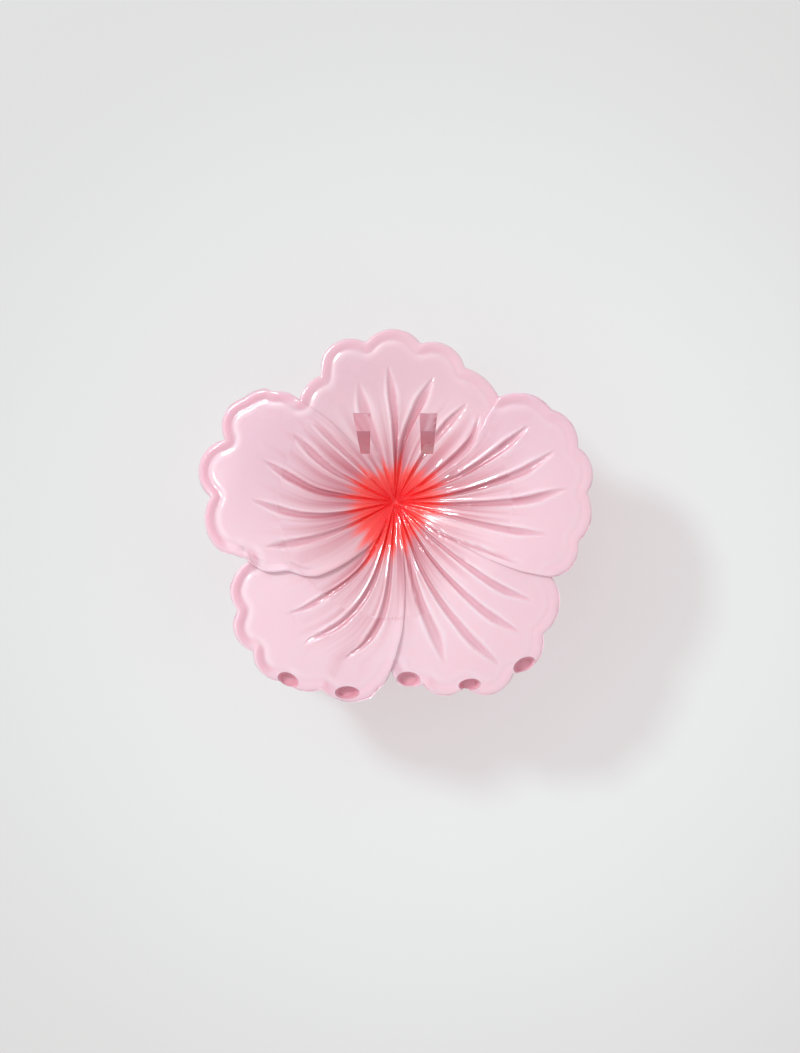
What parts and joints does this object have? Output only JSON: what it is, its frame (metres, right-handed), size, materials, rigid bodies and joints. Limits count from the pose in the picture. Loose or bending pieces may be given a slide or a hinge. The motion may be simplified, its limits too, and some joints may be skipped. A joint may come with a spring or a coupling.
{
  "type": "flower hair clip",
  "caption": "Claw hair clip in translucent pink plastic, shaped as a hibiscus flower on both faces, with interleaved teeth and a sprung hinge.",
  "frame": {"origin": "bottom centre of the bounding box, on the surface below the middle of the clip", "axes": "+Z out of the front flower, +Y towards the finger petal above the hinge, +X to the front flower's right; the clip lies on its rear flower"},
  "size_m": [0.0807, 0.0762, 0.038],
  "materials": {
    "front_plastic": "translucent gloss, red airbrushed star at the throat",
    "rear_plastic": "translucent gloss, red airbrushed star at the throat",
    "pin_steel": "bright plated steel",
    "spring_steel": "bright spring wire"
  },
  "bodies": {
    "rear": {"rear_jaw": "rear_plastic", "hinge_pin": "pin_steel", "torsion_spring": "spring_steel"},
    "front": {"front_jaw": "front_plastic"}
  },
  "joints": [
    {"name": "jaw_hinge", "type": "hinge", "parent": "rear", "child": "front", "pos_m": [0, 0.0147, 0.019], "axis": [-1, 0, 0], "range_deg": [0, 50], "stiffness_Nm_per_rad": 0.2, "springref_deg": -34.38, "deforming": ["torsion_spring"]}
  ]
}
